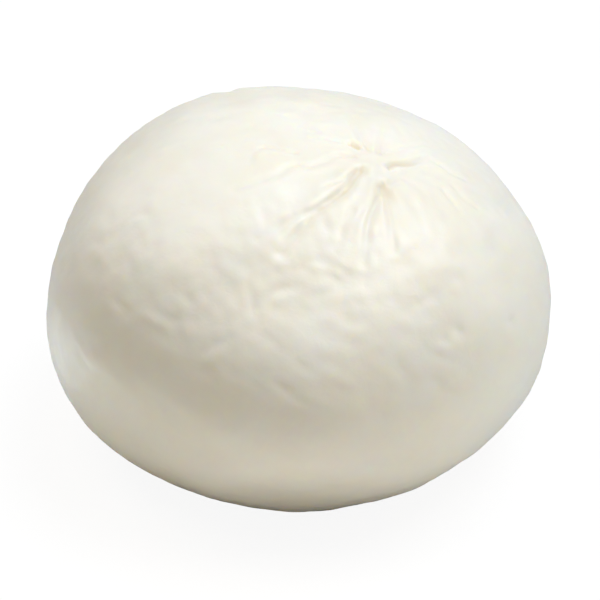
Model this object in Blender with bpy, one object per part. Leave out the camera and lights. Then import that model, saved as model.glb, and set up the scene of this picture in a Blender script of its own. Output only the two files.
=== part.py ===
"""A fresh mozzarella ball: one soft, sagging ball of cheese with folds gathered at a pinch.

The ball stands on a flat spot at the origin, with +Z up and its widest side along X.
Every point is found in three steps: a direction from the ball's middle, a distance along that
direction (the round body, its broad swells and the folds), and the settling onto the table.
"""

import math
from collections import namedtuple

import bmesh
import bpy
import numpy as np

MM = 0.001

# The round body, in metres
HALF_WIDTH = 34.4 * MM
HALF_DEPTH = 33.15 * MM
RISE_ABOVE_BELLY = 26.5 * MM
DROP_BELOW_BELLY = 23.85 * MM
BELLY_HEIGHT = 18.35 * MM
ROUNDNESS_ABOVE = 2.13
ROUNDNESS_BELOW = 2.07
SETTLING_HEIGHT = 1.0 * MM

# The pinch where the ball was torn off, and the knot that stands between its folds
PINCH_AZIMUTH = -27.0
PINCH_ELEVATION = 67.0
FOLD_PLANE_RADIUS = 30.0 * MM
KNOT_RADIUS = 3.6 * MM
KNOT_HEIGHT = 0.2 * MM

# Mesh fineness: rings are closer together near the pinch
SEGMENTS = 108
RINGS = 44
RING_GRADING = 1.4

NODE_NAME = "mozzarella_ball"
CHEESE_COLOUR = (0.87, 0.85, 0.78, 1.0)
CHEESE_ROUGHNESS = 0.35

# A broad swell or hollow: where it is and how wide, in degrees, and its height in millimetres
Swell = namedtuple("Swell", "azimuth elevation spread height")
SWELLS = (
    # round the outline
    Swell(-14.0, -5.0, 8.0, -0.1),
    Swell(18.0, 24.0, 15.0, -0.5),
    Swell(-25.0, 50.0, 14.0, 0.25),
    Swell(130.0, 47.0, 25.0, 1.3),
    Swell(180.0, 45.0, 18.0, 0.1),
    Swell(174.0, 8.0, 26.0, -1.0),
    Swell(-125.0, -50.0, 28.0, -0.1),
    Swell(-28.0, -34.0, 60.0, -0.75),
    Swell(-46.0, -24.0, 5.0, -0.55),
    # the upper front: a flat slope with soft rises round it
    Swell(-90.0, 45.0, 26.0, -1.65),
    Swell(-60.0, 58.0, 16.0, 0.3),
    Swell(-120.0, 58.0, 18.0, 0.6),
    Swell(-150.0, 40.0, 16.0, 0.2),
    Swell(-120.0, 30.0, 16.0, -0.5),
    Swell(-108.0, 30.0, 14.0, -0.3),
    Swell(-90.0, 30.0, 16.0, -0.2),
    Swell(-67.0, 35.0, 14.0, -0.4),
    # the sagging shoulder
    Swell(-140.0, 25.0, 25.0, 1.1),
    Swell(-90.0, 15.0, 26.0, 1.95),
    Swell(-40.0, 25.0, 25.0, 0.95),
    Swell(-35.0, 10.0, 16.0, 0.5),
    Swell(-90.0, 0.0, 16.0, 0.55),
    Swell(-60.0, 0.0, 16.0, 0.6),
    # the flank that draws in below it
    Swell(-130.0, -5.0, 22.0, -1.85),
    Swell(-90.0, -12.0, 20.0, -2.3),
    Swell(-50.0, -5.0, 22.0, -0.35),
    Swell(-155.0, -25.0, 18.0, 0.55),
    Swell(-120.0, -22.0, 14.0, -0.15),
    Swell(-90.0, -32.0, 14.0, 0.4),
    Swell(-25.0, -25.0, 18.0, 0.1),
    # the back: soft rises and hollows
    Swell(100.0, 24.0, 18.0, 0.5),
    Swell(62.0, 8.0, 16.0, -0.6),
    Swell(125.0, 0.0, 16.0, -0.7),
    Swell(150.0, 12.0, 14.0, 0.5),
    Swell(92.0, -25.0, 18.0, 0.6),
    Swell(38.0, -8.0, 14.0, 0.4),
)

# A fold: its width, its depth at the start and at the end, in millimetres, then the corners of its
# path, each an angle round the pinch in degrees and a distance from it in millimetres
Fold = namedtuple("Fold", "width depth end_depth path")
FOLDS = (
    # the long fold down the front, its fork and a short one beside it
    Fold(
        0.90, 0.50, 0.24,
        ((226, 2.7), (232, 4.3), (238, 6.4), (236, 9.2), (234, 12.2), (235, 15.4), (237, 20.3)),
    ),
    Fold(0.80, 0.30, 0.13, ((233, 12.6), (229, 14.4), (227, 16.3), (227, 19.2), (226, 21.1))),
    Fold(0.60, 0.16, 0.08, ((225, 5.5), (221, 8.4))),
    Fold(0.60, 0.10, 0.06, ((238, 17.4), (239, 18.5), (243, 19.7))),
    # the pit under the knot, with an arm, and the pair of folds that run down from it
    Fold(1.05, 0.42, 0.36, ((286, 4.9), (286, 5.9))),
    Fold(0.70, 0.38, 0.15, ((287, 5.2), (297, 4.5), (320, 4.3))),
    Fold(0.65, 0.26, 0.10, ((287, 5.2), (279, 6.3), (271, 8.9), (269, 11.1), (269, 13.1), (270, 16.8))),
    Fold(0.60, 0.22, 0.08, ((287, 5.2), (285, 6.5), (284, 10.8), (284, 14.5))),
    Fold(0.60, 0.10, 0.05, ((255, 9.5), (254, 12.2), (256, 15.0))),
    Fold(0.60, 0.10, 0.05, ((272, 7.6), (264, 8.7), (261, 10.5))),
    # the pit behind the knot, with two faint tails
    Fold(0.60, 0.75, 0.60, ((123, 3.9), (125, 5.1))),
    Fold(0.60, 0.22, 0.10, ((125, 4.8), (135, 6.4), (144, 8.5), (148, 10.3))),
    Fold(0.60, 0.10, 0.05, ((137, 10.5), (139, 13.9))),
    # the long fold to the left, and the hooked one above it
    Fold(
        0.75, 0.24, 0.16,
        ((164, 3.3), (173, 5.5), (187, 7.2), (192, 9.3), (190, 11.6), (198, 14.5), (200, 20.1)),
    ),
    Fold(0.60, 0.12, 0.08, ((175, 11.2), (171, 15.2), (174, 16.6), (180, 17.2), (186, 17.5))),
    # the short deep fold to the right, and the curved ones beyond it
    Fold(0.70, 0.54, 0.28, ((352, 2.3), (10, 3.1), (14, 4.5), (18, 6.0), (26, 8.0))),
    Fold(0.60, 0.20, 0.13, ((27, 9.0), (19, 10.2), (12, 11.2), (10, 12.9))),
    Fold(0.60, 0.15, 0.08, ((56, 3.4), (47, 5.9), (47, 9.2), (45, 11.4))),
    Fold(0.60, 0.13, 0.10, ((348, 9.5), (341, 11.1), (336, 12.7))),
    Fold(0.60, 0.10, 0.07, ((357, 11.0), (350, 12.5), (349, 14.1))),
    # the crease where the gathered part ends, low on the front
    Fold(0.60, 0.04, 0.04, ((248, 19.2), (254, 18.5), (259, 18.2), (264, 18.7))),
    # short folds over the back, where the skin is nearly smooth
    Fold(0.80, 0.30, 0.08, ((72, 3.0), (76, 7.0), (78, 11.0))),
    Fold(0.80, 0.35, 0.08, ((104, 3.4), (103, 8.0), (100, 13.0))),
)

PATH_STEPS_PER_SPAN = 6

# The skin that a fold draws in stands up beside it as a low shoulder
SHOULDER_OFFSET = 1.9
SHOULDER_HEIGHT = 0.14


def direction(azimuth, elevation):
    """The unit vector at an azimuth and an elevation, both in degrees."""
    turn = math.radians(azimuth)
    lift = math.radians(elevation)
    return np.array((math.cos(turn) * math.cos(lift), math.sin(turn) * math.cos(lift), math.sin(lift)))


def turned_towards_pinch(points, angles):
    """Turn each point by its own angle, along the arc that leads from +Z to the pinch."""
    pinch_turn = math.radians(PINCH_AZIMUTH)
    axis = np.array((-math.sin(pinch_turn), math.cos(pinch_turn), 0.0))
    cosines = np.cos(angles)[:, None]
    sines = np.sin(angles)[:, None]
    along_axis = axis * (points @ axis)[:, None]
    return points * cosines + np.cross(axis, points) * sines + along_axis * (1.0 - cosines)


def directions_from_sphere(sphere_points):
    """Directions for a unit sphere's points: its top goes to the pinch and its bottom stays down."""
    polar = np.arccos(np.clip(sphere_points[:, 2], -1.0, 1.0))
    graded = math.pi * (polar / math.pi) ** RING_GRADING
    around = np.arctan2(sphere_points[:, 1], sphere_points[:, 0])
    level = np.sin(graded)
    upright = np.stack((level * np.cos(around), level * np.sin(around), np.cos(graded)), axis=1)
    full_tilt = math.radians(90.0 - PINCH_ELEVATION)
    return turned_towards_pinch(upright, full_tilt * 0.5 * (1.0 + np.cos(graded)))


def body_radius(directions):
    """Distance to the round body: a flattened ball whose top is taller than its underside."""
    x, y, z = directions.T
    above = z > 0.0
    roundness = np.where(above, ROUNDNESS_ABOVE, ROUNDNESS_BELOW)
    across = np.hypot(x / HALF_WIDTH, y / HALF_DEPTH)
    upright = np.abs(z) / np.where(above, RISE_ABOVE_BELLY, DROP_BELOW_BELLY)
    return (across**roundness + upright**roundness) ** (-1.0 / roundness)


def swell_height(directions):
    """The broad swells and hollows, each a smooth bell over the angle from its centre."""
    height = np.zeros(len(directions))
    for swell in SWELLS:
        centre = direction(swell.azimuth, swell.elevation)
        away = np.arccos(np.clip(directions @ centre, -1.0, 1.0))
        height += swell.height * MM * np.exp(-((away / math.radians(swell.spread)) ** 2))
    return height


def pinch_plane(directions):
    """Flat coordinates round the pinch: true distance and angle from it, as on a peeled-off skin."""
    centre = direction(PINCH_AZIMUTH, PINCH_ELEVATION)
    tilt = np.array((math.radians(90.0 - PINCH_ELEVATION),))
    axes = [turned_towards_pinch(np.array((axis,)), tilt)[0] for axis in ((1.0, 0.0, 0.0), (0.0, 1.0, 0.0))]
    distance = FOLD_PLANE_RADIUS * np.arccos(np.clip(directions @ centre, -1.0, 1.0))
    angle = np.arctan2(directions @ axes[1], directions @ axes[0])
    return distance * np.cos(angle), distance * np.sin(angle)


def polar_point(angle, distance):
    """A point of the pinch plane at an angle in degrees and a distance in millimetres."""
    turn = math.radians(angle)
    return np.array((math.cos(turn), math.sin(turn))) * distance * MM


def smooth_path(corners):
    """Points on a smooth curve through the corners: a Catmull-Rom cubic over each span."""
    padded = [2.0 * corners[0] - corners[1], *corners, 2.0 * corners[-1] - corners[-2]]
    path = []
    for before, start, end, after in zip(padded, padded[1:], padded[2:], padded[3:]):
        for step in range(PATH_STEPS_PER_SPAN):
            share = step / PATH_STEPS_PER_SPAN
            linear = end - before
            square = 2.0 * before - 5.0 * start + 4.0 * end - after
            cube = 3.0 * (start - end) + after - before
            path.append(start + 0.5 * (linear * share + square * share**2 + cube * share**3))
    return path + [corners[-1]]


def nearest_on_path(x, y, path):
    """Share of a path's length passed at the nearest point of it, and the distance to that point."""
    length_in_all = sum(math.dist(start, end) for start, end in zip(path, path[1:]))
    passed = 0.0
    nearest_share = np.zeros_like(x)
    nearest = np.full_like(x, np.inf)
    for start, end in zip(path, path[1:]):
        length = math.dist(start, end)
        step_x, step_y = (end - start) / length
        along = np.clip((x - start[0]) * step_x + (y - start[1]) * step_y, 0.0, length)
        distance = np.hypot(x - start[0] - along * step_x, y - start[1] - along * step_y)
        nearest_share = np.where(distance < nearest, (passed + along) / length_in_all, nearest_share)
        nearest = np.minimum(nearest, distance)
        passed += length
    return nearest_share, nearest


def pinch_relief(directions):
    """Height of the raised knot and of every fold round the pinch.

    A fold is a groove with low shoulders along its path, and its depth changes evenly from start to
    end. Where grooves or shoulders meet, only the largest counts.
    """
    x, y = pinch_plane(directions)
    knot = KNOT_HEIGHT * np.exp(-((x**2 + y**2) / KNOT_RADIUS**2))
    grooves = np.zeros_like(x)
    shoulders = np.zeros_like(x)
    for fold in FOLDS:
        path = smooth_path([polar_point(angle, distance) for angle, distance in fold.path])
        share, away = nearest_on_path(x, y, path)
        across = away / (fold.width * MM)
        depth = (fold.depth + (fold.end_depth - fold.depth) * share) * MM
        grooves = np.maximum(grooves, depth * np.exp(-(across**2)))
        beside = np.exp(-((across - SHOULDER_OFFSET) ** 2))
        shoulders = np.maximum(shoulders, SHOULDER_HEIGHT * depth * beside)
    return knot + shoulders - grooves


def settled_on_table(height):
    """Flatten whatever would lie below the table, with a smooth turn up from the flat spot."""
    turning_up = (height + SETTLING_HEIGHT) ** 2 / (4.0 * SETTLING_HEIGHT)
    clear_or_turning = np.where(height < SETTLING_HEIGHT, turning_up, height)
    return np.where(height < -SETTLING_HEIGHT, 0.0, clear_or_turning)


def ball_surface(directions):
    """Surface points of the whole ball, standing on z = 0 with its box centred on the origin."""
    distance = body_radius(directions) + swell_height(directions) + pinch_relief(directions)
    points = directions * distance[:, None]
    points[:, 2] = settled_on_table(points[:, 2] + BELLY_HEIGHT)
    box_middle = 0.5 * (points.min(axis=0) + points.max(axis=0))
    points[:, :2] -= box_middle[:2]
    return points


def cheese_material():
    """Plain cream-white cheese."""
    material = bpy.data.materials.new("cheese")
    material.use_nodes = True
    shader = material.node_tree.nodes["Principled BSDF"]
    shader.inputs["Base Color"].default_value = CHEESE_COLOUR
    shader.inputs["Roughness"].default_value = CHEESE_ROUGHNESS
    shader.inputs["Metallic"].default_value = 0.0
    return material


def build_ball():
    """Shape a sphere's mesh into the ball and add it to the scene."""
    sphere = bmesh.new()
    bmesh.ops.create_uvsphere(sphere, u_segments=SEGMENTS, v_segments=RINGS, radius=1.0)
    sphere_points = np.array([vertex.co[:] for vertex in sphere.verts])
    points = ball_surface(directions_from_sphere(sphere_points))
    for vertex, point in zip(sphere.verts, points):
        vertex.co = point
    bmesh.ops.recalc_face_normals(sphere, faces=sphere.faces)
    mesh = bpy.data.meshes.new(NODE_NAME)
    sphere.to_mesh(mesh)
    sphere.free()
    mesh.shade_smooth()
    mesh.materials.append(cheese_material())
    ball = bpy.data.objects.new(NODE_NAME, mesh)
    bpy.context.collection.objects.link(ball)
    return ball


def main():
    for old_object in list(bpy.data.objects):
        bpy.data.objects.remove(old_object)
    build_ball()


if __name__ == "__main__":
    main()
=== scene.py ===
"""Looks for a fresh mozzarella ball: its fine skin, its moist cream-white finish and a plain studio.

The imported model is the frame. The skin is one closed surface that stands for the ball's solid, and
repeats its formulas on a finer grid: a direction from the ball's middle, then a distance along it.
Small marks and a random unevenness, too fine for the solid, are added to that distance.
"""

import math
from collections import namedtuple

import bpy
import numpy as np
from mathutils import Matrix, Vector


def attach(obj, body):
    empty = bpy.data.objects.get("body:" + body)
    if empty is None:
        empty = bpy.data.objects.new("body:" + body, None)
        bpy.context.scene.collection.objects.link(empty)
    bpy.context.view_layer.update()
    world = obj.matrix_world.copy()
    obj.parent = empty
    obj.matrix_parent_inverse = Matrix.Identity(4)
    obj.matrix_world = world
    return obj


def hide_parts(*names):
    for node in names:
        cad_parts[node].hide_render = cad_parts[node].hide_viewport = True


bl_info = {
    "name": "Mozzarella ball",
    "version": (1, 0, 0),
    "blender": (4, 5, 0),
    "location": "3D View > Sidebar > Cheese",
    "description": "Builds the skin of a fresh mozzarella ball and a plain studio round it",
    "category": "Add Mesh",
}

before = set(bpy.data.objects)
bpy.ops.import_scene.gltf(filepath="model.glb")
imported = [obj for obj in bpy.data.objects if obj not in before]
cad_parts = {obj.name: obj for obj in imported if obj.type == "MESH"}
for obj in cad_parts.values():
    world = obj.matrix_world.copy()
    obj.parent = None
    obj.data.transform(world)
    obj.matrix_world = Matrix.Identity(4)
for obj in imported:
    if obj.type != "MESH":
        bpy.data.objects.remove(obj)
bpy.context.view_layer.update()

MM = 0.001
BALL_NODE = "mozzarella_ball"
SKIN_NAME = "cheese_skin"
FOLD_DEPTH_ATTRIBUTE = "fold_depth"

# By how much of their mean spacing the skin's columns are closer together at the back, +Y, and
# farther apart at the front
BACK_CROWDING = 0.3

# A broad swell or hollow: where it is and how wide, in degrees, and its height in millimetres
Swell = namedtuple("Swell", "azimuth elevation spread height")
SWELLS = (
    # round the outline
    Swell(-14.0, -5.0, 8.0, -0.1),
    Swell(18.0, 24.0, 15.0, -0.5),
    Swell(-25.0, 50.0, 14.0, 0.25),
    Swell(130.0, 47.0, 25.0, 1.3),
    Swell(180.0, 45.0, 18.0, 0.1),
    Swell(174.0, 8.0, 26.0, -1.0),
    Swell(-125.0, -50.0, 28.0, -0.1),
    Swell(-28.0, -34.0, 60.0, -0.75),
    Swell(-46.0, -24.0, 5.0, -0.55),
    # the upper front: a flat slope with soft rises round it
    Swell(-90.0, 45.0, 26.0, -1.65),
    Swell(-60.0, 58.0, 16.0, 0.3),
    Swell(-120.0, 58.0, 18.0, 0.6),
    Swell(-150.0, 40.0, 16.0, 0.2),
    Swell(-120.0, 30.0, 16.0, -0.5),
    Swell(-108.0, 30.0, 14.0, -0.3),
    Swell(-90.0, 30.0, 16.0, -0.2),
    Swell(-67.0, 35.0, 14.0, -0.4),
    # the sagging shoulder
    Swell(-140.0, 25.0, 25.0, 1.1),
    Swell(-90.0, 15.0, 26.0, 1.95),
    Swell(-40.0, 25.0, 25.0, 0.95),
    Swell(-35.0, 10.0, 16.0, 0.5),
    Swell(-90.0, 0.0, 16.0, 0.55),
    Swell(-60.0, 0.0, 16.0, 0.6),
    # the flank that draws in below it
    Swell(-130.0, -5.0, 22.0, -1.85),
    Swell(-90.0, -12.0, 20.0, -2.3),
    Swell(-50.0, -5.0, 22.0, -0.35),
    Swell(-155.0, -25.0, 18.0, 0.55),
    Swell(-120.0, -22.0, 14.0, -0.15),
    Swell(-90.0, -32.0, 14.0, 0.4),
    Swell(-25.0, -25.0, 18.0, 0.1),
    # the back: soft rises and hollows
    Swell(100.0, 24.0, 18.0, 0.5),
    Swell(62.0, 8.0, 16.0, -0.6),
    Swell(125.0, 0.0, 16.0, -0.7),
    Swell(150.0, 12.0, 14.0, 0.5),
    Swell(92.0, -25.0, 18.0, 0.6),
    Swell(38.0, -8.0, 14.0, 0.4),
)

# A fold: its width, its depth at the start and at the end, in millimetres, then the corners of its
# path, each an angle round the pinch in degrees and a distance from it in millimetres
Fold = namedtuple("Fold", "width depth end_depth path")
FOLDS = (
    # the long fold down the front, its fork and a short one beside it
    Fold(
        0.80, 0.50, 0.24,
        ((226, 2.7), (232, 4.3), (238, 6.4), (236, 9.2), (234, 12.2), (235, 15.4), (237, 20.3)),
    ),
    Fold(0.70, 0.30, 0.13, ((233, 12.6), (229, 14.4), (227, 16.3), (227, 19.2), (226, 21.1))),
    Fold(0.45, 0.16, 0.08, ((225, 5.5), (221, 8.4))),
    Fold(0.45, 0.10, 0.06, ((238, 17.4), (239, 18.5), (243, 19.7))),
    # the pit under the knot, with an arm, and the pair of folds that run down from it
    Fold(0.95, 0.42, 0.36, ((286, 4.9), (286, 5.9))),
    Fold(0.60, 0.38, 0.15, ((287, 5.2), (297, 4.5), (320, 4.3))),
    Fold(0.55, 0.26, 0.10, ((287, 5.2), (279, 6.3), (271, 8.9), (269, 11.1), (269, 13.1), (270, 16.8))),
    Fold(0.50, 0.22, 0.08, ((287, 5.2), (285, 6.5), (284, 10.8), (284, 14.5))),
    Fold(0.50, 0.10, 0.05, ((255, 9.5), (254, 12.2), (256, 15.0))),
    Fold(0.45, 0.10, 0.05, ((272, 7.6), (264, 8.7), (261, 10.5))),
    # the pit behind the knot, with two faint tails
    Fold(0.50, 0.75, 0.60, ((123, 3.9), (125, 5.1))),
    Fold(0.50, 0.22, 0.10, ((125, 4.8), (135, 6.4), (144, 8.5), (148, 10.3))),
    Fold(0.45, 0.10, 0.05, ((137, 10.5), (139, 13.9))),
    # the long fold to the left, and the hooked one above it
    Fold(
        0.65, 0.24, 0.16,
        ((164, 3.3), (173, 5.5), (187, 7.2), (192, 9.3), (190, 11.6), (198, 14.5), (200, 20.1)),
    ),
    Fold(0.45, 0.12, 0.08, ((175, 11.2), (171, 15.2), (174, 16.6), (180, 17.2), (186, 17.5))),
    # the short deep fold to the right, and the curved ones beyond it
    Fold(0.60, 0.54, 0.28, ((352, 2.3), (10, 3.1), (14, 4.5), (18, 6.0), (26, 8.0))),
    Fold(0.50, 0.20, 0.13, ((27, 9.0), (19, 10.2), (12, 11.2), (10, 12.9))),
    Fold(0.45, 0.15, 0.08, ((56, 3.4), (47, 5.9), (47, 9.2), (45, 11.4))),
    Fold(0.45, 0.13, 0.10, ((348, 9.5), (341, 11.1), (336, 12.7))),
    Fold(0.45, 0.10, 0.07, ((357, 11.0), (350, 12.5), (349, 14.1))),
    # the crease where the gathered part ends, low on the front
    Fold(0.45, 0.04, 0.04, ((248, 19.2), (254, 18.5), (259, 18.2), (264, 18.7))),
    # two short folds that run down the back
    Fold(0.70, 0.30, 0.08, ((72, 3.0), (76, 7.0), (78, 11.0))),
    Fold(0.70, 0.35, 0.08, ((104, 3.4), (103, 8.0), (100, 13.0))),
)
# The low shoulders beside a groove: how far out, in widths of the groove, and how high, as a share
# of its depth
SHOULDER_OFFSET = 1.9
SHOULDER_HEIGHT = 0.14

# A mark in the skin, small enough to be left to the fine surface: the azimuth and elevation of its
# middle and its heading, in degrees, then length, bow, width and depth in millimetres. A mark with
# a negative depth stands up.
Mark = namedtuple("Mark", "azimuth elevation heading length bow width depth")
MARKS = (
    # left of the front: a dent, a ridge over a crease, and a small loop
    Mark(-138.0, 25.5, -56.0, 2.0, 0.0, 0.50, 0.17),
    Mark(-129.3, 23.6, -19.0, 5.3, 1.25, 0.50, -0.11),
    Mark(-127.0, 25.2, -46.0, 3.2, -0.1, 0.55, -0.07),
    Mark(-123.0, 28.0, -33.0, 2.6, -0.35, 0.50, 0.12),
    Mark(-120.0, 32.0, -42.0, 3.0, 0.2, 0.60, 0.07),
    # upper left: two nicks and a faint swelling
    Mark(-151.0, 44.0, -25.0, 2.0, 0.0, 0.40, 0.10),
    Mark(-157.0, 32.0, -34.0, 2.0, -0.15, 0.45, 0.10),
    Mark(-151.0, 31.0, -64.0, 4.1, -0.25, 0.70, -0.05),
    Mark(-116.0, 61.0, -86.0, 2.0, 0.0, 0.60, -0.05),
    # along the left side: a long faint streak that stands up
    Mark(-145.0, 11.0, 101.0, 9.5, 0.3, 0.60, -0.07),
    # below the long fold: an arc, a steep crease, and the soft edge between them
    Mark(-117.0, 38.5, -41.0, 6.6, 1.2, 0.70, 0.07),
    Mark(-103.0, 35.5, -80.0, 4.9, 0.0, 0.60, 0.13),
    Mark(-95.0, 38.0, 16.0, 4.4, 0.35, 0.55, 0.08),
    Mark(-99.0, 40.0, 0.0, 4.7, 0.0, 0.90, -0.05),
    Mark(-84.0, 45.0, 6.0, 2.5, -0.15, 0.60, -0.05),
    Mark(-77.0, 42.0, 42.0, 1.1, 0.0, 0.60, -0.06),
    Mark(-78.0, 48.0, 2.0, 1.2, 0.0, 0.70, -0.05),
    # a slanting crease over a lump, with small ones under it
    Mark(-111.0, 23.4, 21.0, 5.8, 0.2, 0.50, 0.19),
    Mark(-111.0, 20.5, -8.0, 2.3, 0.35, 0.80, -0.05),
    Mark(-112.0, 18.5, -9.0, 2.8, 0.1, 0.60, 0.06),
    Mark(-109.0, 17.0, -42.0, 1.9, 0.1, 0.50, 0.08),
    Mark(-110.0, 12.0, -20.0, 4.3, -0.2, 0.60, 0.06),
    # middle of the front: a soft lump under a slanting line, and a sharp dent with a raised lip
    Mark(-96.0, 27.0, -39.0, 3.1, 0.0, 0.50, 0.08),
    Mark(-88.0, 26.0, 13.0, 2.8, -0.15, 0.90, -0.07),
    Mark(-89.0, 22.0, -10.0, 2.8, -0.05, 0.80, 0.07),
    Mark(-97.0, 21.0, -28.0, 1.5, 0.0, 0.50, 0.07),
    Mark(-93.0, 18.0, -29.0, 1.7, -0.15, 0.50, 0.19),
    Mark(-93.0, 15.0, -25.0, 2.2, -0.15, 0.60, -0.06),
    Mark(-89.0, 15.0, -10.0, 1.6, -0.15, 0.45, 0.08),
    # right of the front: a slanting ridge, short ripples and a few pocks
    Mark(-56.0, 17.8, -12.0, 4.2, -0.3, 0.50, -0.06),
    Mark(-57.5, 19.6, -12.0, 2.4, -0.15, 0.50, 0.09),
    Mark(-54.5, 20.0, 42.0, 1.7, 0.0, 0.50, -0.08),
    Mark(-66.0, 19.0, -50.0, 1.8, 0.0, 0.55, 0.13),
    Mark(-68.0, 16.5, -40.0, 2.8, 0.0, 0.50, -0.08),
    Mark(-56.0, 12.5, 7.0, 1.6, 0.0, 0.50, -0.09),
    Mark(-55.5, 10.5, 8.0, 1.5, 0.0, 0.50, 0.15),
    Mark(-53.0, 4.0, 56.0, 1.6, 0.0, 0.45, -0.07),
    Mark(-34.5, 18.0, -34.0, 0.8, 0.0, 0.60, 0.28),
    Mark(-49.5, 22.5, -60.0, 0.9, 0.0, 0.55, 0.18),
    Mark(-54.0, 22.0, -20.0, 1.2, 0.0, 0.55, 0.14),
    Mark(-57.0, 31.0, 40.0, 1.2, 0.0, 0.55, 0.10),
    Mark(-35.5, 14.5, 85.0, 2.6, -0.2, 0.55, -0.10),
    Mark(-73.0, 17.5, 5.0, 2.2, -0.2, 0.50, -0.06),
    Mark(-59.0, 14.3, 2.0, 2.4, 0.0, 0.50, 0.10),
    Mark(-79.0, 10.0, 0.0, 1.6, 0.0, 0.55, 0.10),
    Mark(-79.0, 18.0, 10.0, 1.6, 0.0, 0.50, -0.05),
    Mark(-68.0, -4.0, 36.0, 7.0, -0.2, 0.55, -0.04),
    # over the back: long soft creases that come down from the top, with short ones beside them
    Mark(112.0, 38.0, 104.0, 17.0, 1.3, 0.90, 0.34),
    Mark(122.0, 44.0, 142.0, 9.0, -0.8, 0.70, 0.20),
    Mark(140.0, 24.0, 152.0, 12.0, -1.1, 0.85, 0.28),
    Mark(84.0, 36.0, 74.0, 13.0, -0.9, 0.80, 0.26),
    Mark(56.0, 26.0, 38.0, 9.0, 0.7, 0.70, 0.20),
    Mark(162.0, 8.0, 128.0, 7.0, 0.5, 0.60, 0.16),
    # lower on the back: slanting creases under low ridges
    Mark(118.0, 14.0, 60.0, 8.0, 1.0, 0.70, 0.24),
    Mark(120.0, 18.0, 56.0, 7.0, 1.0, 0.80, -0.10),
    Mark(98.0, 6.0, 150.0, 6.0, -0.5, 0.65, 0.18),
    Mark(132.0, -8.0, 24.0, 9.0, 0.8, 0.70, 0.18),
    Mark(76.0, 10.0, 8.0, 6.0, 0.6, 0.65, 0.18),
    Mark(148.0, -14.0, 70.0, 6.0, -0.4, 0.60, 0.18),
    Mark(172.0, 9.0, 166.0, 8.0, 0.8, 0.70, 0.22),
    Mark(184.0, -12.0, 150.0, 7.0, -0.6, 0.65, 0.17),
    Mark(166.0, -20.0, 20.0, 6.0, 0.5, 0.60, 0.16),
    Mark(106.0, -20.0, 30.0, 7.0, 0.5, 0.65, 0.14),
    # dents and pocks of the back
    Mark(128.0, 26.0, 20.0, 1.6, 0.0, 0.60, 0.24),
    Mark(104.0, 25.0, 80.0, 1.2, 0.0, 0.55, 0.18),
    Mark(152.0, 34.0, 100.0, 1.4, 0.0, 0.55, 0.14),
    Mark(90.0, -6.0, 45.0, 1.3, 0.0, 0.60, 0.18),
    Mark(142.0, 4.0, 0.0, 1.0, 0.0, 0.50, 0.16),
    Mark(66.0, -12.0, 60.0, 1.5, 0.1, 0.55, 0.14),
    # the right side, low down: faint slanting creases
    Mark(26.0, 20.0, 66.0, 8.0, 0.8, 0.75, 0.26),
    Mark(14.0, 4.0, 50.0, 7.0, 0.6, 0.70, 0.22),
    Mark(34.0, -8.0, 130.0, 6.0, -0.5, 0.65, 0.20),
    Mark(2.0, -12.0, 100.0, 6.5, 0.6, 0.65, 0.18),
    Mark(-8.0, -24.0, 100.0, 5.0, 0.4, 0.60, 0.11),
    Mark(12.0, -30.0, 30.0, 4.0, 0.3, 0.60, 0.11),
    Mark(38.0, 14.0, 20.0, 1.3, 0.0, 0.55, 0.16),
)
# How strong a mark still is at its ends, as a share of its middle
MARK_END_STRENGTH = 0.35

# A random field's shortest and longest waves, as shares of its own wavelength
WAVE_LENGTHS = (0.75, 1.35)
UNDULATION_LENGTH = 13.0 * MM
# Fine creases run where one field crosses zero, over this spread of its values, and only in patches
# where a second field is high
CREASE_LENGTH = 6.0 * MM
CREASE_SPREAD = 0.30
CREASED_PATCH_LENGTH = 12.0 * MM
CREASED_PATCH_EDGE = (0.2, 1.2)
LUMP_LENGTH = 3.6 * MM
SMALL_LUMP_LENGTH = 2.1 * MM
SMALL_LUMP_SHARE = 0.55
# Wrinkles round the pinch: their length on a circle of radius one, how much they drift for each
# metre outwards, how far they reach, and where they begin and are at their full height
WRINKLE_LENGTH = 0.34
WRINKLE_DRIFT = 30.0
WRINKLE_REACH = 14.0 * MM
WRINKLE_EDGE = (2.0 * MM, 5.0 * MM)

# How much painted shade, a warmer and darker colour, shows at most, and between which depths or heights
# it comes in
FOLD_SHADE_PAINTED = 0.42
FOLD_SHADE_PAINTED_DEPTHS = (0.24 * MM, 0.45 * MM)
PIT_SHADE_PAINTED = 0.60
GATHERED_SHADE_PAINTED = 0.4
BASE_SHADE_PAINTED = 0.20
BASE_SHADE_PAINTED_HEIGHTS = (5.0 * MM, 14.0 * MM)

# Noise values that are mapped to all or nothing: the narrower range makes plainer patches
NOISE_RANGE = (0.3, 0.7)
MOTTLE_RANGE = (0.35, 0.65)
NONE_TO_ALL = (0.0, 1.0)

# Sizes of the mottling, the glossier and duller patches, the pores and the grain
MOTTLE_SIZE = 9.0 * MM
GLOSS_PATCH_SIZE = 5.0 * MM
PORE_SIZE = 1.6 * MM
PORE_HEIGHT = 0.035 * MM
GRAIN_SIZE = 0.45 * MM
GRAIN_HEIGHT = 0.007 * MM
ROUGHNESS_RANGE = (0.38, 0.54)

# A studio light: direction from the ball in degrees, diameter and distance in metres, power in watts
# and colour
StudioLight = namedtuple("StudioLight", "name azimuth elevation diameter distance power colour")
LIGHTS = (
    StudioLight("top_right", 0.0, 68.0, 0.35, 0.6, 2.33, (0.99, 1.00, 1.00)),
    StudioLight("top_back", 60.0, 68.0, 0.35, 0.6, 0.96, (0.45, 0.69, 1.00)),
    StudioLight("top_left", 180.0, 68.0, 0.35, 0.6, 1.39, (1.00, 0.88, 0.71)),
    StudioLight("right", 0.0, 25.0, 0.30, 0.6, 0.48, (1.00, 0.87, 0.68)),
    StudioLight("rim_left", 135.0, 25.0, 0.30, 0.6, 0.34, (1.00, 0.96, 0.88)),
)

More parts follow.
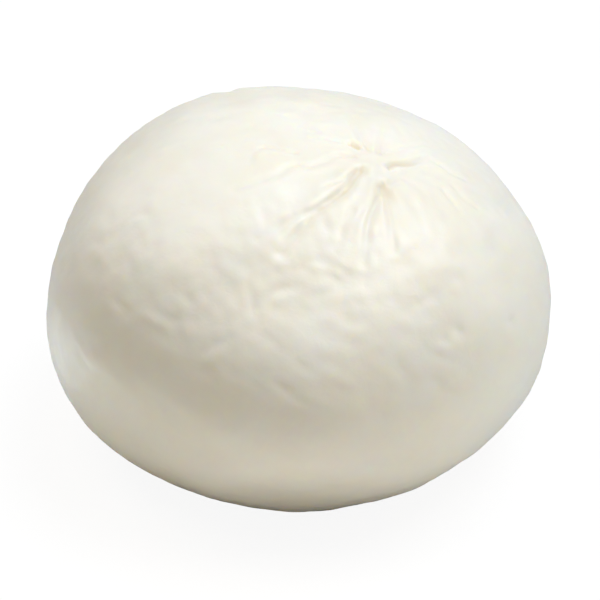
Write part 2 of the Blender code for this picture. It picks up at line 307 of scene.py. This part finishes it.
# A low fill: a small lamp that lies on the floor beside the ball and shines straight up
LowFill = namedtuple("LowFill", "name azimuth power colour")
LOW_FILLS = (
    LowFill("fill_left", 180.0, 0.0080, (0.77, 0.90, 1.00)),
    LowFill("fill_front_left", 210.0, 0.0044, (1.00, 0.94, 0.75)),
    LowFill("fill_front", 240.0, 0.0055, (1.00, 0.90, 0.62)),
    LowFill("fill_front_right", 270.0, 0.0062, (1.00, 0.93, 0.86)),
    LowFill("fill_right_front", 300.0, 0.0049, (1.00, 0.84, 0.52)),
    LowFill("fill_right", 330.0, 0.0055, (0.74, 0.91, 1.00)),
)
LOW_FILL_DISTANCE = 70.0 * MM
LOW_FILL_DIAMETER = 50.0 * MM
LOW_FILL_HEIGHT = 0.3 * MM

# The floor: the size of its faint patches and their shade, the distances between which its glow
# near the ball turns into its far glow, and the rings of its level part and of its sweep
FLOOR_PATCH_SIZE = 0.3
FLOOR_PATCH_SHADE = 0.96
FLOOR_GLOW_TURN = (0.1, 0.8)
FLOOR_RINGS = 10
SWEEP_RINGS = 15

# Places of the colour sockets among the inputs and outputs of a Mix node
MIX_FIRST = 6
MIX_SECOND = 7
MIX_RESULT = 2


class BallShape(bpy.types.PropertyGroup):
    """Sizes of the ball's body, its pinch and its small unevenness."""

    half_width: bpy.props.FloatProperty(
        name="Half width", description="Middle to side along X", default=34.4 * MM, unit="LENGTH"
    )
    half_depth: bpy.props.FloatProperty(
        name="Half depth", description="Middle to side along Y", default=33.15 * MM, unit="LENGTH"
    )
    rise: bpy.props.FloatProperty(
        name="Rise", description="Belly to top", default=26.5 * MM, unit="LENGTH"
    )
    drop: bpy.props.FloatProperty(
        name="Drop", description="Belly to underside, before it settles",
        default=23.85 * MM, unit="LENGTH",
    )
    belly_height: bpy.props.FloatProperty(
        name="Belly height", description="Height of the widest level",
        default=18.35 * MM, unit="LENGTH",
    )
    roundness_above: bpy.props.FloatProperty(
        name="Roundness above", description="2 is an ellipse, more is boxier", default=2.13
    )
    roundness_below: bpy.props.FloatProperty(
        name="Roundness below", description="2 is an ellipse, more is boxier", default=2.07
    )
    settling: bpy.props.FloatProperty(
        name="Settling", description="Height of the turn up from the flat spot",
        default=1.0 * MM, unit="LENGTH",
    )
    pinch_azimuth: bpy.props.FloatProperty(
        name="Pinch azimuth", description="Turn of the pinch about Z",
        default=math.radians(-27.0), subtype="ANGLE",
    )
    pinch_elevation: bpy.props.FloatProperty(
        name="Pinch elevation", description="Lift of the pinch",
        default=math.radians(67.0), subtype="ANGLE",
    )
    skin_radius: bpy.props.FloatProperty(
        name="Skin radius", description="Radius that turns angles into lengths on the skin",
        default=30.0 * MM, unit="LENGTH",
    )
    knot_radius: bpy.props.FloatProperty(
        name="Knot radius", description="Size of the raised knot", default=3.6 * MM, unit="LENGTH"
    )
    knot_height: bpy.props.FloatProperty(
        name="Knot height", description="Height of the raised knot", default=0.2 * MM, unit="LENGTH"
    )
    radial_wrinkle: bpy.props.FloatProperty(
        name="Radial wrinkles", description="Height of the fine wrinkles round the pinch",
        default=0.045 * MM, unit="LENGTH",
    )
    undulation: bpy.props.FloatProperty(
        name="Undulation", description="Height of the broad unevenness",
        default=0.062 * MM, unit="LENGTH",
    )
    crease: bpy.props.FloatProperty(
        name="Skin creases", description="Depth of the fine random creases",
        default=0.018 * MM, unit="LENGTH",
    )
    lump: bpy.props.FloatProperty(
        name="Lumps", description="Height of the small soft lumps",
        default=0.026 * MM, unit="LENGTH",
    )
    columns: bpy.props.IntProperty(
        name="Columns", description="Grid columns round the pinch", default=400
    )
    rows: bpy.props.IntProperty(
        name="Rows", description="Grid rows from pinch to base", default=248
    )


class CheeseFinish(bpy.types.PropertyGroup):
    """Colours of the cheese, the colours and places of its painted shade, and how far light travels in
    it.
    """

    curd_colour: bpy.props.FloatVectorProperty(
        name="Curd", description="Main colour", default=(0.90, 0.875, 0.80), subtype="COLOR"
    )
    cream_colour: bpy.props.FloatVectorProperty(
        name="Cream", description="Warmer patches", default=(0.89, 0.855, 0.76), subtype="COLOR"
    )
    # painted shade colour: mixed in to darken and warm the folds, the pit under the knot and the lower
    # part towards the base
    painted_shade_colour: bpy.props.FloatVectorProperty(
        name="Fold", description="Colour deep in the folds",
        default=(0.80, 0.70, 0.50), subtype="COLOR",
    )
    # painted shade colour for the skin drawn together round the pinch, where its small folds shade it
    painted_gathered_shade_colour: bpy.props.FloatVectorProperty(
        name="Gathered skin", description="Colour of the skin that is drawn together below the pinch",
        default=(0.78, 0.73, 0.63), subtype="COLOR",
    )
    gathered_middle: bpy.props.FloatVectorProperty(
        name="Gathered middle", description="Middle of the gathered skin",
        default=(9.9 * MM, -9.2 * MM, 40.8 * MM), subtype="TRANSLATION",
    )
    gathered_radius: bpy.props.FloatProperty(
        name="Gathered radius", description="How far the gathered skin reaches",
        default=13.0 * MM, unit="LENGTH",
    )
    # the warm spot round the pit is painted shade in that hollow
    pit_middle: bpy.props.FloatVectorProperty(
        name="Pit middle", description="Middle of the warm spot round the pit under the knot",
        default=(10.9 * MM, -10.0 * MM, 43.7 * MM), subtype="TRANSLATION",
    )
    pit_radius: bpy.props.FloatProperty(
        name="Pit radius", description="How far the warm spot reaches",
        default=3.3 * MM, unit="LENGTH",
    )
    scattering: bpy.props.FloatProperty(
        name="Scattering", description="How far light travels under the skin",
        default=1.2 * MM, unit="LENGTH",
    )


class Studio(bpy.types.PropertyGroup):
    """Floor, backdrop, fill and camera."""

    floor_radius: bpy.props.FloatProperty(
        name="Floor radius", description="Where the floor begins to curve up",
        default=1.2, unit="LENGTH",
    )
    sweep_radius: bpy.props.FloatProperty(
        name="Sweep radius", description="Radius of the curve that turns the floor up",
        default=1.0, unit="LENGTH",
    )
    floor_gap: bpy.props.FloatProperty(
        name="Floor gap", description="How far the floor lies under the ball",
        default=0.05 * MM, unit="LENGTH",
    )
    floor_colour: bpy.props.FloatVectorProperty(
        name="Floor", description="Colour of the floor", default=(1.0, 1.0, 1.0), subtype="COLOR"
    )
    floor_glow: bpy.props.FloatProperty(
        name="Floor glow", description="Light that the floor gives off near the ball", default=0.92
    )
    far_glow: bpy.props.FloatProperty(
        name="Far glow", description="Light that the floor and backdrop give off far from the ball",
        default=0.93,
    )
    floor_shade: bpy.props.FloatProperty(
        name="Floor shade", description="Share of the studio light that the floor shows, with its shadow",
        default=0.10, subtype="FACTOR",
    )
    bounce_colour: bpy.props.FloatVectorProperty(
        name="Bounce", description="Colour of the card that throws light up at the ball",
        default=(0.6, 0.6, 0.6), subtype="COLOR",
    )
    camera_elevation: bpy.props.FloatProperty(
        name="Camera elevation", description="Camera's angle above level",
        default=math.radians(35.0), subtype="ANGLE",
    )
    camera_distance: bpy.props.FloatProperty(
        name="Camera distance", description="Camera to aim point", default=303.1 * MM, unit="LENGTH"
    )
    camera_lens: bpy.props.FloatProperty(
        name="Lens", description="Focal length in millimetres", default=135.0
    )
    aim: bpy.props.FloatVectorProperty(
        name="Aim", description="Point the camera looks at",
        default=(0.07 * MM, -0.32 * MM, 19.6 * MM), subtype="TRANSLATION",
    )


def direction(azimuth, elevation):
    """The unit vector at an azimuth and an elevation, both in radians."""
    level = math.cos(elevation)
    return np.array((math.cos(azimuth) * level, math.sin(azimuth) * level, math.sin(elevation)))


def turned(points, axis, angles):
    """Points turned about an axis, each by its own angle: the part along the axis stays."""
    cosines = np.cos(angles)[..., None]
    sines = np.sin(angles)[..., None]
    along_axis = axis * (points @ axis)[..., None]
    return points * cosines + np.cross(axis, points) * sines + along_axis * (1.0 - cosines)


def skin_directions(shape):
    """Directions on a grid: columns run round the pinch and rows from the pinch to the base.

    Each is a point of a unit sphere, turned towards the pinch by a share of the pinch's tilt that
    falls from all of it at the top to none at the base. Columns are closer together at the back.
    """
    turn = np.linspace(0.0, 2.0 * math.pi, shape.columns, endpoint=False)
    around = turn + BACK_CROWDING * np.cos(turn)
    polar = np.linspace(0.0, math.pi, shape.rows)[:, None]
    level = np.sin(polar)
    upright = np.cos(polar) * np.ones_like(around)
    sphere = np.stack((level * np.cos(around), level * np.sin(around), upright), axis=-1)
    axis = np.array((-math.sin(shape.pinch_azimuth), math.cos(shape.pinch_azimuth), 0.0))
    tilt = 0.5 * math.pi - shape.pinch_elevation
    return turned(sphere, axis, tilt * 0.5 * (1.0 + sphere[..., 2]))


def body_distance(directions, shape):
    """Distance to the surface of a flattened ball.

    The level and the upright shares of its sizes, each to the power of the roundness, add up to one.
    """
    x, y, z = np.moveaxis(directions, -1, 0)
    above = z > 0.0
    roundness = np.where(above, shape.roundness_above, shape.roundness_below)
    across = np.hypot(x / shape.half_width, y / shape.half_depth)
    upright = np.abs(z) / np.where(above, shape.rise, shape.drop)
    return (across**roundness + upright**roundness) ** (-1.0 / roundness)


def swell_height(directions):
    """The broad swells and hollows: each a bell over the angle from its centre."""
    height = np.zeros(directions.shape[:-1])
    for swell in SWELLS:
        centre = direction(math.radians(swell.azimuth), math.radians(swell.elevation))
        away = np.arccos(np.clip(directions @ centre, -1.0, 1.0))
        height += swell.height * MM * np.exp(-((away / math.radians(swell.spread)) ** 2))
    return height


def flat_coordinates(directions, azimuth, elevation, radius):
    """Coordinates on the skin peeled flat round a centre: true distance from it, true angle round it.

    The two axes are world X and Y, turned the shortest way that takes Z to the centre.
    """
    centre = direction(azimuth, elevation)
    axis = np.array((-math.sin(azimuth), math.cos(azimuth), 0.0))
    tilt = np.array(0.5 * math.pi - elevation)
    first_axis = turned(np.array((1.0, 0.0, 0.0)), axis, tilt)
    second_axis = turned(np.array((0.0, 1.0, 0.0)), axis, tilt)
    distance = radius * np.arccos(np.clip(directions @ centre, -1.0, 1.0))
    angle = np.arctan2(directions @ second_axis, directions @ first_axis)
    return distance * np.cos(angle), distance * np.sin(angle)


def polar_point(angle, distance):
    """A point of the flat skin at an angle in degrees and a distance in millimetres."""
    turn = math.radians(angle)
    return math.cos(turn) * distance * MM, math.sin(turn) * distance * MM


def smooth_path(corners, steps=6):
    """Points on a smooth curve through the corners: a Catmull-Rom cubic over each span."""
    corners = np.array(corners)
    ends = (2.0 * corners[:1] - corners[1:2], 2.0 * corners[-1:] - corners[-2:-1])
    padded = np.concatenate((ends[0], corners, ends[1]))
    share = np.linspace(0.0, 1.0, steps, endpoint=False)[:, None, None]
    before, start, end, after = padded[:-3], padded[1:-2], padded[2:-1], padded[3:]
    curve = start + 0.5 * share * (end - before)
    curve = curve + 0.5 * share**2 * (2.0 * before - 5.0 * start + 4.0 * end - after)
    curve = curve + 0.5 * share**3 * (3.0 * (start - end) + after - before)
    return np.concatenate((curve.transpose(1, 0, 2).reshape(-1, 2), corners[-1:]))


def nearest_on_path(x, y, path):
    """Share of a path's length passed at the nearest point of it, and the distance to that point."""
    steps = np.diff(path, axis=0)
    lengths = np.hypot(steps[:, 0], steps[:, 1])
    passed = np.concatenate(((0.0,), np.cumsum(lengths)))
    share, away = np.zeros_like(x), np.full_like(x, np.inf)
    for start, step, length, before in zip(path, steps, lengths, passed):
        along = np.clip(((x - start[0]) * step[0] + (y - start[1]) * step[1]) / length**2, 0.0, 1.0)
        distance = np.hypot(x - start[0] - along * step[0], y - start[1] - along * step[1])
        nearer = distance < away
        share = np.where(nearer, (before + along * length) / passed[-1], share)
        away = np.minimum(away, distance)
    return share, away


def fold_relief(directions, shape):
    """Height of the knot and the folds, and the depth of the grooves alone.

    A groove is a bell across its path, with a low shoulder on either side, and its depth changes
    evenly from start to end. Where grooves or shoulders meet, only the largest counts.
    """
    x, y = flat_coordinates(directions, shape.pinch_azimuth, shape.pinch_elevation, shape.skin_radius)
    height = shape.knot_height * np.exp(-((x**2 + y**2) / shape.knot_radius**2))
    grooves = np.zeros_like(height)
    shoulders = np.zeros_like(height)
    for fold in FOLDS:
        path = smooth_path([polar_point(angle, distance) for angle, distance in fold.path])
        share, away = nearest_on_path(x, y, path)
        across = away / (fold.width * MM)
        depth = (fold.depth + (fold.end_depth - fold.depth) * share) * MM
        grooves = np.maximum(grooves, depth * np.exp(-(across**2)))
        shoulder = SHOULDER_HEIGHT * depth * np.exp(-((across - SHOULDER_OFFSET) ** 2))
        shoulders = np.maximum(shoulders, shoulder)
    return height + shoulders - grooves, grooves


def mark_relief(directions, shape):
    """Height of the small marks: a bell across a bowed line, thinning out towards both ends."""
    height = np.zeros(directions.shape[:-1])
    for mark in MARKS:
        azimuth, elevation = math.radians(mark.azimuth), math.radians(mark.elevation)
        x, y = flat_coordinates(directions, azimuth, elevation, shape.skin_radius)
        end = np.array(polar_point(mark.heading, 0.5 * mark.length))
        middle = np.array(polar_point(mark.heading + 90.0, mark.bow))
        share, away = nearest_on_path(x, y, smooth_path((-end, middle, end)))
        strength = MARK_END_STRENGTH + (1.0 - MARK_END_STRENGTH) * np.sin(math.pi * share)
        height -= mark.depth * MM * strength * np.exp(-((away / (mark.width * MM)) ** 2))
    return height


def random_waves(points, wavelength, seed, count=28):
    """A smooth random field, about one high: many equal waves in random directions, added up."""
    source = np.random.default_rng(seed)
    headings = source.normal(size=(count, 3))
    headings /= np.linalg.norm(headings, axis=1)[:, None]
    lengths = wavelength * source.uniform(*WAVE_LENGTHS, count)
    phases = source.uniform(0.0, 2.0 * math.pi, count)
    field = np.zeros(points.shape[:-1])
    for heading, length, phase in zip(headings, lengths, phases):
        field += np.cos(points @ heading * (2.0 * math.pi / length) + phase)
    return field * math.sqrt(2.0 / count)


def eased(value, low, high):
    """Zero below low and one above high, with a smooth rise between."""
    share = np.clip((value - low) / (high - low), 0.0, 1.0)
    return share * share * (3.0 - 2.0 * share)


def fine_relief(points, directions, shape):
    """The unevenness of the whole skin: broad undulation, stray creases, lumps and radial wrinkles.

    The wrinkles are waves on a circle round the pinch that change slowly outwards, so they run out
    from it like spokes.
    """
    undulation = shape.undulation * random_waves(points, UNDULATION_LENGTH, seed=11)
    crease_waves = random_waves(points, CREASE_LENGTH, seed=23)
    patches = random_waves(points, CREASED_PATCH_LENGTH, seed=31)
    where_creased = eased(patches, *CREASED_PATCH_EDGE)
    creases = -shape.crease * where_creased * np.exp(-((crease_waves / CREASE_SPREAD) ** 2))
    lumps = shape.lump * random_waves(points, LUMP_LENGTH, seed=47)
    lumps += SMALL_LUMP_SHARE * shape.lump * random_waves(points, SMALL_LUMP_LENGTH, seed=71, count=48)
    x, y = flat_coordinates(directions, shape.pinch_azimuth, shape.pinch_elevation, shape.skin_radius)
    distance = np.hypot(x, y)
    angle = np.arctan2(y, x)
    ring = np.stack((np.cos(angle), np.sin(angle), WRINKLE_DRIFT * distance), axis=-1)
    reach = np.exp(-((distance / WRINKLE_REACH) ** 2)) * eased(distance, *WRINKLE_EDGE)
    wrinkles = shape.radial_wrinkle * reach * random_waves(ring, WRINKLE_LENGTH, seed=59)
    return undulation + creases + lumps + wrinkles


def settled_on_table(height, settling):
    """Flatten whatever would lie below the table, with a parabola that turns up from the flat spot."""
    turning_up = (height + settling) ** 2 / (4.0 * settling)
    clear_or_turning = np.where(height < settling, turning_up, height)
    return np.where(height < -settling, 0.0, clear_or_turning)


def skin_surface(shape):
    """Points of the whole skin on its grid, and the depth of the folds at each."""
    directions = skin_directions(shape)
    distance = body_distance(directions, shape) + swell_height(directions)
    folds, groove_depth = fold_relief(directions, shape)
    body_points = directions * distance[..., None]
    relief = folds + mark_relief(directions, shape) + fine_relief(body_points, directions, shape)
    points = directions * (distance + relief)[..., None]
    points[..., 2] = settled_on_table(points[..., 2] + shape.belly_height, shape.settling)
    low, high = points.min(axis=(0, 1)), points.max(axis=(0, 1))
    points[..., :2] -= 0.5 * (low + high)[:2]
    return points, groove_depth


def ring_faces(rings, columns):
    """Faces of a surface of rings round its first point: a fan to the first ring, then quads."""
    ring = np.arange(columns)
    beside = np.roll(ring, -1)
    ring_starts = 1 + columns * np.arange(rings - 1)[:, None]
    left, right = ring_starts + ring, ring_starts + beside
    fan = np.stack((np.zeros_like(ring), 1 + ring, 1 + beside), axis=-1)
    quads = np.stack((left, left + columns, right + columns, right), axis=-1)
    return fan.tolist() + quads.reshape(-1, 4).tolist()


def closed_mesh(name, grid, values):
    """A mesh from a grid whose first and last rows are single points, closed round its columns.

    Values, one for each grid point, are kept as the fold depth attribute.
    """
    rows, columns = grid.shape[:2]
    points = np.concatenate((grid[:1, 0], grid[1:-1].reshape(-1, 3), grid[-1:, 0]))
    kept_values = np.concatenate((values[:1, 0], values[1:-1].ravel(), values[-1:, 0]))
    last_point = len(points) - 1
    last_ring = last_point - columns + np.arange(columns)
    last_fan = np.stack((last_ring, np.full_like(last_ring, last_point), np.roll(last_ring, -1)), axis=-1)
    mesh = bpy.data.meshes.new(name)
    mesh.from_pydata(points.tolist(), [], ring_faces(rows - 2, columns) + last_fan.tolist())
    attribute = mesh.attributes.new(FOLD_DEPTH_ATTRIBUTE, "FLOAT", "POINT")
    attribute.data.foreach_set("value", kept_values.astype(np.float32))
    mesh.shade_smooth()
    mesh.validate()
    return mesh


def add_object(name, mesh, material):
    """A mesh object at the origin with one material, in the scene."""
    mesh.materials.append(material)
    new_object = bpy.data.objects.new(name, mesh)
    bpy.context.scene.collection.objects.link(new_object)
    return new_object


class NodeSheet:
    """A material's nodes, with short calls to add and join them."""

    def __init__(self, name):
        self.material = bpy.data.materials.new(name)
        self.material.use_nodes = True
        self.tree = self.material.node_tree
        self.shader = self.tree.nodes["Principled BSDF"]
        coordinates = self.tree.nodes.new("ShaderNodeTexCoord")
        self.position = coordinates.outputs["Object"]
        separate = self.add("ShaderNodeSeparateXYZ")
        self.join(self.position, separate.inputs["Vector"])
        self.height = separate.outputs["Z"]

    def add(self, kind, **settings):
        """A new node, with its settings."""
        node = self.tree.nodes.new(kind)
        for key, value in settings.items():
            setattr(node, key, value)
        return node

    def join(self, output, socket):
        """A link from an output to an input."""
        self.tree.links.new(output, socket)

    def noise(self, feature_size, detail, roughness=0.5, distortion=0.0):
        """Noise whose features are about feature_size metres across."""
        node = self.add("ShaderNodeTexNoise")
        node.inputs["Scale"].default_value = 1.0 / feature_size
        node.inputs["Detail"].default_value = detail
        node.inputs["Roughness"].default_value = roughness
        node.inputs["Distortion"].default_value = distortion
        self.join(self.position, node.inputs["Vector"])
        return node.outputs["Fac"]

    def distance_to(self, point):
        """Distance from a point of the object, in metres."""
        node = self.add("ShaderNodeVectorMath", operation="DISTANCE")
        self.join(self.position, node.inputs[0])
        node.inputs[1].default_value = point
        return node.outputs["Value"]

    def ranged(self, value, old_range, new_range):
        """Value mapped smoothly from the old range to the new one, held at its ends."""
        node = self.add("ShaderNodeMapRange", interpolation_type="SMOOTHSTEP")
        node.inputs["From Min"].default_value, node.inputs["From Max"].default_value = old_range
        node.inputs["To Min"].default_value, node.inputs["To Max"].default_value = new_range
        self.join(value, node.inputs["Value"])
        return node.outputs["Result"]

    def mixed(self, factor, first, second):
        """First colour turning into second as the factor goes from zero to one."""
        node = self.add("ShaderNodeMix", data_type="RGBA")
        self.join(factor, node.inputs["Factor"])
        for socket, colour in ((node.inputs[MIX_FIRST], first), (node.inputs[MIX_SECOND], second)):
            if isinstance(colour, bpy.types.NodeSocket):
                self.join(colour, socket)
            else:
                socket.default_value = (*colour, 1.0)
        return node.outputs[MIX_RESULT]

    def bumped(self, height, distance, base=None):
        """Normals bent by a height from zero to one that stands for distance metres."""
        node = self.add("ShaderNodeBump")
        node.inputs["Distance"].default_value = distance
        self.join(height, node.inputs["Height"])
        if base is not None:
            self.join(base, node.inputs["Normal"])
        return node.outputs["Normal"]


def cheese_material(finish):
    """Moist cheese: mottled cream white, scattering light under a satin skin.

    It has painted shade, a warmer and darker colour, in the folds, round the pit under the knot,
    where the skin is gathered and towards the base.
    """
    sheet = NodeSheet("fresh_cheese")
    shader = sheet.shader
    mottling = sheet.ranged(sheet.noise(MOTTLE_SIZE, detail=3.0), MOTTLE_RANGE, NONE_TO_ALL)
    colour = sheet.mixed(mottling, finish.curd_colour, finish.cream_colour)
    # painted shade round the pinch, darker towards the middle of the gathered skin
    from_gathered = sheet.distance_to(finish.gathered_middle)
    gathered_shade_mask = sheet.ranged(from_gathered, (0.0, finish.gathered_radius), (GATHERED_SHADE_PAINTED, 0.0))
    colour = sheet.mixed(gathered_shade_mask, colour, finish.painted_gathered_shade_colour)
    # painted shade in the pit under the knot, darker towards its middle
    from_pit = sheet.distance_to(finish.pit_middle)
    pit_shade_mask = sheet.ranged(from_pit, (0.0, finish.pit_radius), (PIT_SHADE_PAINTED, 0.0))
    colour = sheet.mixed(pit_shade_mask, colour, finish.painted_shade_colour)
    # painted shade in the folds: the deeper the groove, the darker and warmer
    fold_depth = sheet.add("ShaderNodeAttribute", attribute_name=FOLD_DEPTH_ATTRIBUTE).outputs["Fac"]
    fold_shade_mask = sheet.ranged(fold_depth, FOLD_SHADE_PAINTED_DEPTHS, (0.0, FOLD_SHADE_PAINTED))
    colour = sheet.mixed(fold_shade_mask, colour, finish.painted_shade_colour)
    # painted shade towards the base: darker lower down, where the ball turns under towards the floor
    base_shade_mask = sheet.ranged(sheet.height, BASE_SHADE_PAINTED_HEIGHTS, (BASE_SHADE_PAINTED, 0.0))
    colour = sheet.mixed(base_shade_mask, colour, finish.painted_shade_colour)
    sheet.join(colour, shader.inputs["Base Color"])
    patches = sheet.noise(GLOSS_PATCH_SIZE, detail=4.0, roughness=0.6)
    sheet.join(sheet.ranged(patches, NOISE_RANGE, ROUGHNESS_RANGE), shader.inputs["Roughness"])
    pores = sheet.bumped(sheet.noise(PORE_SIZE, detail=3.0, roughness=0.55, distortion=0.4), PORE_HEIGHT)
    grain = sheet.bumped(sheet.noise(GRAIN_SIZE, detail=2.0), GRAIN_HEIGHT, pores)
    sheet.join(grain, shader.inputs["Normal"])
    shader.inputs["IOR"].default_value = 1.45
    shader.inputs["Subsurface Weight"].default_value = 1.0
    shader.inputs["Subsurface Scale"].default_value = finish.scattering
    shader.inputs["Subsurface Radius"].default_value = (1.0, 0.8, 0.5)
    shader.inputs["Coat Weight"].default_value = 0.15
    shader.inputs["Coat Roughness"].default_value = 0.22
    return sheet.material


def floor_material(studio):
    """A pale lit floor: mostly a glow of its own, and a little of the studio light with its shadow."""
    sheet = NodeSheet("pale_floor")
    shader = sheet.shader
    patches = sheet.ranged(sheet.noise(FLOOR_PATCH_SIZE, detail=2.0), NOISE_RANGE, NONE_TO_ALL)
    shown = [studio.floor_shade * channel for channel in studio.floor_colour]
    slightly_darker = [FLOOR_PATCH_SHADE * channel for channel in shown]
    sheet.join(sheet.mixed(patches, shown, slightly_darker), shader.inputs["Base Color"])
    shader.inputs["Roughness"].default_value = 1.0
    shader.inputs["Specular IOR Level"].default_value = 0.0
    shader.inputs["Emission Color"].default_value = (*studio.floor_colour, 1.0)
    from_ball = sheet.distance_to((0.0, 0.0, 0.0))
    glow = sheet.ranged(from_ball, FLOOR_GLOW_TURN, (studio.floor_glow, studio.far_glow))
    sheet.join(glow, shader.inputs["Emission Strength"])
    return sheet.material


def bounce_material(studio):
    """The plain matt card that throws light up at the ball."""
    sheet = NodeSheet("bounce_card")
    sheet.shader.inputs["Base Color"].default_value = (*studio.bounce_colour, 1.0)
    sheet.shader.inputs["Roughness"].default_value = 0.9
    sheet.shader.inputs["Specular IOR Level"].default_value = 0.2
    return sheet.material


def turned_sheet(name, distance, height, columns=96):
    """A sheet turned about Z from a profile of distances and heights that starts on the axis."""
    around = np.linspace(0.0, 2.0 * math.pi, columns, endpoint=False)
    across, up = distance[1:, None], height[1:, None]
    up = up * np.ones_like(around)
    rings = np.stack((across * np.cos(around), across * np.sin(around), up), axis=-1)
    points = np.concatenate((((0.0, 0.0, height[0]),), rings.reshape(-1, 3)))
    mesh = bpy.data.meshes.new(name)
    mesh.from_pydata(points.tolist(), [], ring_faces(len(distance) - 1, columns))
    mesh.shade_smooth()
    return mesh


def floor_sheet(studio):
    """The floor, level near the ball, then a quarter circle that turns it up into a backdrop."""
    level = studio.floor_radius * np.linspace(0.0, 1.0, FLOOR_RINGS)
    turn = np.linspace(0.0, 0.5 * math.pi, SWEEP_RINGS + 1)[1:]
    distance = np.concatenate((level, studio.floor_radius + studio.sweep_radius * np.sin(turn)))
    height = np.concatenate((np.zeros(FLOOR_RINGS), studio.sweep_radius * (1.0 - np.cos(turn))))
    return turned_sheet("floor", distance, height - studio.floor_gap)


def bounce_sheet(studio):
    """A flat round card just under the floor."""
    distance = studio.floor_radius * np.linspace(0.0, 1.0, FLOOR_RINGS)
    return turned_sheet("bounce_card", distance, np.full(FLOOR_RINGS, -2.0 * studio.floor_gap))


def show_only_to_camera(stage_object):
    """The camera sees it, but it takes no part in the lighting of other things."""
    stage_object.visible_diffuse = False
    stage_object.visible_glossy = False
    stage_object.visible_transmission = False
    stage_object.visible_volume_scatter = False
    stage_object.visible_shadow = False


def add_lamp(name, diameter, power, colour, location, away):
    """One round area lamp that shines against the direction away, unseen by the camera."""
    lamp = bpy.data.lights.new(name, "AREA")
    lamp.shape = "DISK"
    lamp.size = diameter
    lamp.energy = power
    lamp.color = colour
    lamp_object = bpy.data.objects.new(name, lamp)
    bpy.context.scene.collection.objects.link(lamp_object)
    lamp_object.location = location
    lamp_object.rotation_euler = away.to_track_quat("Z", "Y").to_euler()
    lamp_object.visible_camera = False


def add_lights(aim):
    """The lights round the ball, which face it, and the low fills, which face up."""
    for light in LIGHTS:
        away = Vector(direction(math.radians(light.azimuth), math.radians(light.elevation)))
        add_lamp(light.name, light.diameter, light.power, light.colour, aim + away * light.distance, away)
    for fill in LOW_FILLS:
        place = Vector(direction(math.radians(fill.azimuth), 0.0)) * LOW_FILL_DISTANCE
        place.z = LOW_FILL_HEIGHT
        add_lamp(fill.name, LOW_FILL_DIAMETER, fill.power, fill.colour, place, Vector((0.0, 0.0, -1.0)))


def add_world():
    """Black surroundings, so that all the light comes from the lamps and the card."""
    world = bpy.data.worlds.new("studio")
    bpy.context.scene.world = world
    world.use_nodes = True
    world.node_tree.nodes["Background"].inputs["Color"].default_value = (0.0, 0.0, 0.0, 1.0)


def add_camera(studio):
    """The camera in front of the ball, looking down on it."""
    camera = bpy.data.cameras.new("camera")
    camera.lens = studio.camera_lens
    camera.clip_start = 0.01
    camera_object = bpy.data.objects.new("camera", camera)
    bpy.context.scene.collection.objects.link(camera_object)
    away = Vector(direction(-0.5 * math.pi, studio.camera_elevation))
    camera_object.location = Vector(studio.aim) + away * studio.camera_distance
    camera_object.rotation_euler = away.to_track_quat("Z", "Y").to_euler()
    bpy.context.scene.camera = camera_object


class CHEESE_OT_skin(bpy.types.Operator):
    """Build the cheese skin over the ball's solid"""

    bl_idname = "cheese.skin"
    bl_label = "Cheese skin"

    def execute(self, context):
        shape = context.scene.ball_shape
        grid, groove_depth = skin_surface(shape)
        mesh = closed_mesh(SKIN_NAME, grid, groove_depth)
        skin = add_object(SKIN_NAME, mesh, cheese_material(context.scene.cheese_finish))
        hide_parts(BALL_NODE)
        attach(skin, "root")
        return {"FINISHED"}


class CHEESE_OT_studio(bpy.types.Operator):
    """Build the floor, the card under it, the lights and the camera"""

    bl_idname = "cheese.studio"
    bl_label = "Studio"

    def execute(self, context):
        studio = context.scene.cheese_studio
        floor = add_object("floor", floor_sheet(studio), floor_material(studio))
        show_only_to_camera(floor)
        bounce = add_object("bounce_card", bounce_sheet(studio), bounce_material(studio))
        bounce.visible_camera = False
        add_lights(Vector(studio.aim))
        add_world()
        add_camera(studio)
        context.scene.view_settings.view_transform = "Standard"
        return {"FINISHED"}


class CHEESE_PT_panel(bpy.types.Panel):
    """Sizes, colours and build steps of the ball"""

    bl_idname = "CHEESE_PT_panel"
    bl_label = "Mozzarella ball"
    bl_space_type = "VIEW_3D"
    bl_region_type = "UI"
    bl_category = "Cheese"

    def draw(self, context):
        scene = context.scene
        for title, group in (
            ("Shape", scene.ball_shape),
            ("Finish", scene.cheese_finish),
            ("Studio", scene.cheese_studio),
        ):
            box = self.layout.box()
            box.label(text=title)
            for name in group.__annotations__:
                box.prop(group, name)
        for operator in OPERATORS:
            self.layout.operator(operator.bl_idname)


SETTINGS = {"ball_shape": BallShape, "cheese_finish": CheeseFinish, "cheese_studio": Studio}
OPERATORS = (CHEESE_OT_skin, CHEESE_OT_studio)
CLASSES = (*SETTINGS.values(), *OPERATORS, CHEESE_PT_panel)


def register():
    for new_class in CLASSES:
        bpy.utils.register_class(new_class)
    for name, group in SETTINGS.items():
        setattr(bpy.types.Scene, name, bpy.props.PointerProperty(type=group))


def unregister():
    for name in SETTINGS:
        delattr(bpy.types.Scene, name)
    for old_class in reversed(CLASSES):
        bpy.utils.unregister_class(old_class)


def main():
    register()
    bpy.ops.cheese.skin()
    bpy.ops.cheese.studio()


if __name__ == "__main__":
    main()
